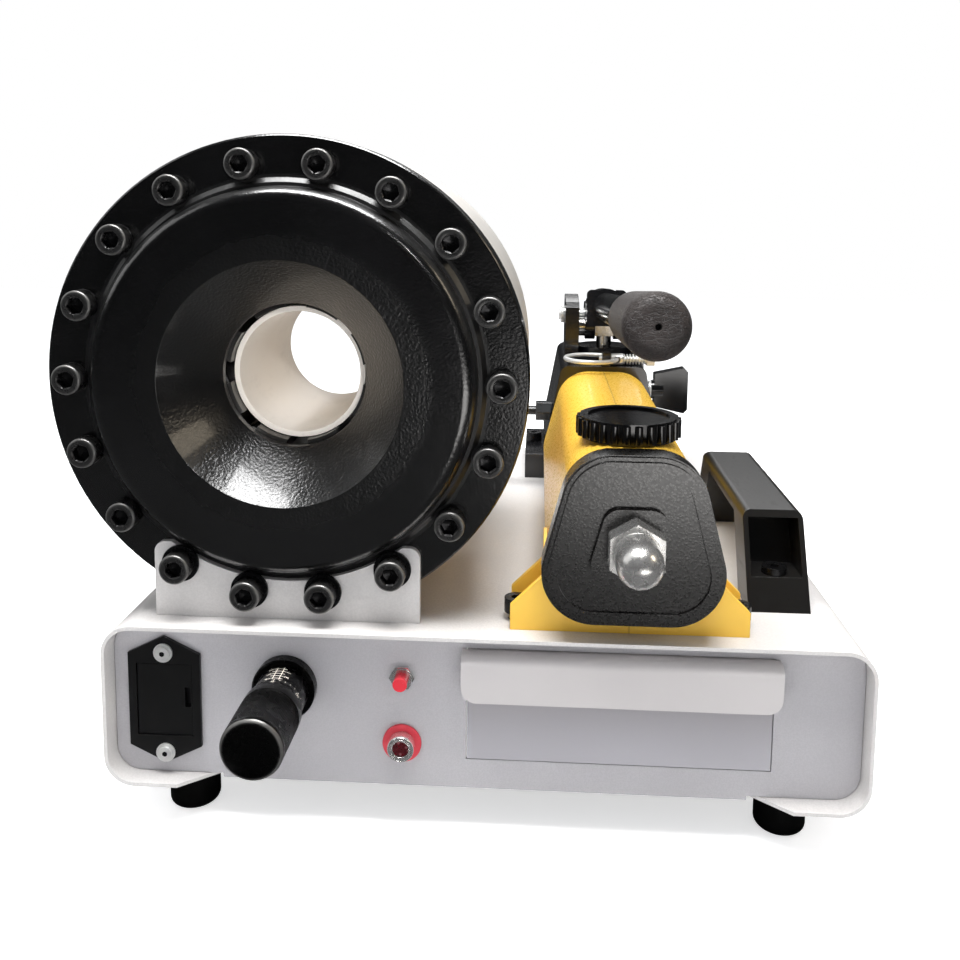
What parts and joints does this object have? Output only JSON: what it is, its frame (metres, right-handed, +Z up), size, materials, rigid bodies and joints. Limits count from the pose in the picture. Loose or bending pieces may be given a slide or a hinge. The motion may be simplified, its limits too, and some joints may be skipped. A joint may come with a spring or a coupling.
{
  "type": "hose crimping machine",
  "caption": "Bench-top hydraulic hose crimper: round crimping head with a funnel bore and hand pump with lever on a sheet metal base with drawer, dial, button and lamp.",
  "frame": {"origin": "on the floor under the middle of the whole machine's bounding box, feet at z = 0", "axes": "+Z up, +X to the right of the front, +Y from the front towards the back; the hose enters along +Y"},
  "size_m": [0.4338, 0.454, 0.3695],
  "materials": {
    "light_grey_paint": "light grey powder coat on sheet steel",
    "panel_paint": "fine grained light grey powder coat",
    "bright_sheet": "plain zinc-coated sheet",
    "drawer_paint": "satin warm grey powder coat",
    "foot_rubber": "matt black rubber",
    "handle_plastic": "moulded black glass-filled nylon",
    "black_oxide": "black-oxide socket screws",
    "zinc_steel": "bright zinc-plated steel",
    "black_gloss_paint": "glossy black enamel with a slight orange-peel texture",
    "housing_silver": "silver grey enamel over a turned cylinder",
    "machined_steel": "turned and ground steel",
    "die_steel": "hardened steel with a thin film of oil",
    "liner_cream": "smooth cream-white tube",
    "pipe_steel": "black coated steel pipe",
    "tank_yellow": "yellow moulded nylon with a soft shine",
    "saddle_yellow": "yellow moulded nylon",
    "cap_black": "black nylon with a moulded grain",
    "block_black": "black enamel on a cast block",
    "tube_black": "black enamel on steel tube",
    "foam_brown": "dark brown-black foam grip",
    "nut_chrome": "chrome-plated domed nut",
    "knob_black": "glossy black moulded nylon",
    "box_plastic": "black moulded battery box",
    "dial_black": "black anodised aluminium",
    "fitting_chrome": "polished chrome",
    "button_red": "glossy red plastic",
    "gasket_red": "red rubber gasket",
    "lens_red": "dark red lens"
  },
  "bodies": {
    "machine": {"base_shell": "light_grey_paint", "front_panel": "panel_paint", "rear_panel": "panel_paint", "drawer_rails": "bright_sheet", "rubber_feet": "foot_rubber", "foot_screws": "bright_sheet", "carry_handle": "handle_plastic", "carry_screws": "black_oxide", "head_bracket": "light_grey_paint", "rear_bracket": "light_grey_paint", "bracket_bolts": "black_oxide", "front_flange": "black_gloss_paint", "flange_bolts": "black_oxide", "cylinder_housing": "housing_silver", "rear_cover": "housing_silver", "rear_bolts": "black_oxide", "pressure_pipe": "pipe_steel", "pipe_nuts": "pipe_steel", "pump_tank": "tank_yellow", "pump_saddle": "saddle_yellow", "tank_end_cap": "cap_black", "acorn_nut": "nut_chrome", "pump_screws": "black_oxide", "pump_block": "block_black", "rear_foot": "block_black", "plunger_neck": "block_black", "lever_bracket": "block_black", "pivot_bolt": "zinc_steel", "lock_pin": "zinc_steel", "lock_spring": "zinc_steel", "battery_box": "box_plastic", "battery_screws": "zinc_steel", "dial_barrel": "dial_black", "button_nut": "fitting_chrome", "lamp_gasket": "gasket_red", "lamp_bezel": "fitting_chrome", "lamp_lens": "lens_red"},
    "drawer": {"drawer_box": "bright_sheet", "drawer_front": "drawer_paint"},
    "lever": {"lever_socket": "block_black", "handle_tube": "tube_black", "handle_grip": "foam_brown"},
    "plunger": {"plunger": "machined_steel"},
    "piston": {"piston": "machined_steel"},
    "die_1": {"master_die_1": "die_steel"},
    "die_2": {"master_die_2": "die_steel"},
    "die_3": {"master_die_3": "die_steel"},
    "die_4": {"master_die_4": "die_steel"},
    "die_5": {"master_die_5": "die_steel"},
    "die_6": {"master_die_6": "die_steel"},
    "die_7": {"master_die_7": "die_steel"},
    "die_8": {"master_die_8": "die_steel"},
    "liner": {"liner_sleeve": "liner_cream"},
    "release_valve": {"release_stem": "zinc_steel", "release_knob": "knob_black"},
    "filler": {"filler_cap": "knob_black"},
    "dial": {"dial_thimble": "dial_black"},
    "button": {"button_cap": "button_red"},
    "battery_tray": {"battery_tray": "box_plastic"},
    "lock_ring": {"lock_ring": "zinc_steel"}
  },
  "joints": [
    {"name": "drawer_slide", "type": "slide", "parent": "machine", "child": "drawer", "axis": [0, -1, 0], "range_m": [0, 0.2]},
    {"name": "lever_hinge", "type": "hinge", "parent": "machine", "child": "lever", "pos_m": [0.0962, 0.162, 0.245], "axis": [-1, 0, 0], "range_deg": [-6, 35]},
    {"name": "plunger_slide", "type": "slide", "parent": "machine", "child": "plunger", "axis": [0, 0, 1], "range_m": [-0.0025, 0.0135]},
    {"name": "piston_slide", "type": "slide", "parent": "machine", "child": "piston", "axis": [0, 1, 0], "range_m": [0, 0.025]},
    {"name": "die_1_slide", "type": "slide", "parent": "machine", "child": "die_1", "axis": [0.9239, 0, 0.3827], "range_m": [0, 0.01]},
    {"name": "die_2_slide", "type": "slide", "parent": "machine", "child": "die_2", "axis": [0.3827, 0, 0.9239], "range_m": [0, 0.01]},
    {"name": "die_3_slide", "type": "slide", "parent": "machine", "child": "die_3", "axis": [-0.3827, 0, 0.9239], "range_m": [0, 0.01]},
    {"name": "die_4_slide", "type": "slide", "parent": "machine", "child": "die_4", "axis": [-0.9239, 0, 0.3827], "range_m": [0, 0.01]},
    {"name": "die_5_slide", "type": "slide", "parent": "machine", "child": "die_5", "axis": [-0.9239, 0, -0.3827], "range_m": [0, 0.01]},
    {"name": "die_6_slide", "type": "slide", "parent": "machine", "child": "die_6", "axis": [-0.3827, 0, -0.9239], "range_m": [0, 0.01]},
    {"name": "die_7_slide", "type": "slide", "parent": "machine", "child": "die_7", "axis": [0.3827, 0, -0.9239], "range_m": [0, 0.01]},
    {"name": "die_8_slide", "type": "slide", "parent": "machine", "child": "die_8", "axis": [0.9239, 0, -0.3827], "range_m": [0, 0.01]},
    {"name": "liner_slide", "type": "slide", "parent": "machine", "child": "liner", "axis": [0, -1, 0], "range_m": [0, 0.125]},
    {"name": "release_turn", "type": "hinge", "parent": "machine", "child": "release_valve", "pos_m": [0.12864, 0.115, 0.1913], "axis": [1, 0, 0], "range_deg": [0, 180]},
    {"name": "filler_turn", "type": "hinge", "parent": "machine", "child": "filler", "pos_m": [0.0927, -0.1265, 0.2098], "axis": [0, 0, 1], "continuous": true},
    {"name": "dial_turn", "type": "hinge", "parent": "machine", "child": "dial", "pos_m": [-0.0889, -0.163, 0.078], "axis": [0, -1, 0], "continuous": true},
    {"name": "button_push", "type": "slide", "parent": "machine", "child": "button", "axis": [0, 1, 0], "range_m": [0, 0.002], "stiffness_N_per_m": 900, "springref_m": -0.001},
    {"name": "battery_tray_slide", "type": "slide", "parent": "machine", "child": "battery_tray", "axis": [0, -1, 0], "range_m": [0, 0.028]},
    {"name": "lock_ring_swing", "type": "hinge", "parent": "machine", "child": "lock_ring", "pos_m": [0.1031, 0.0895, 0.2188], "axis": [0, 1, 0], "range_deg": [0, 60]}
  ],
  "couplings": [
    {"joint": "plunger_slide", "follows": "lever_hinge", "m_per_rad": 0.02},
    {"joint": "die_1_slide", "follows": "piston_slide", "ratio": 0.4},
    {"joint": "die_2_slide", "follows": "piston_slide", "ratio": 0.4},
    {"joint": "die_3_slide", "follows": "piston_slide", "ratio": 0.4},
    {"joint": "die_4_slide", "follows": "piston_slide", "ratio": 0.4},
    {"joint": "die_5_slide", "follows": "piston_slide", "ratio": 0.4},
    {"joint": "die_6_slide", "follows": "piston_slide", "ratio": 0.4},
    {"joint": "die_7_slide", "follows": "piston_slide", "ratio": 0.4},
    {"joint": "die_8_slide", "follows": "piston_slide", "ratio": 0.4}
  ]
}
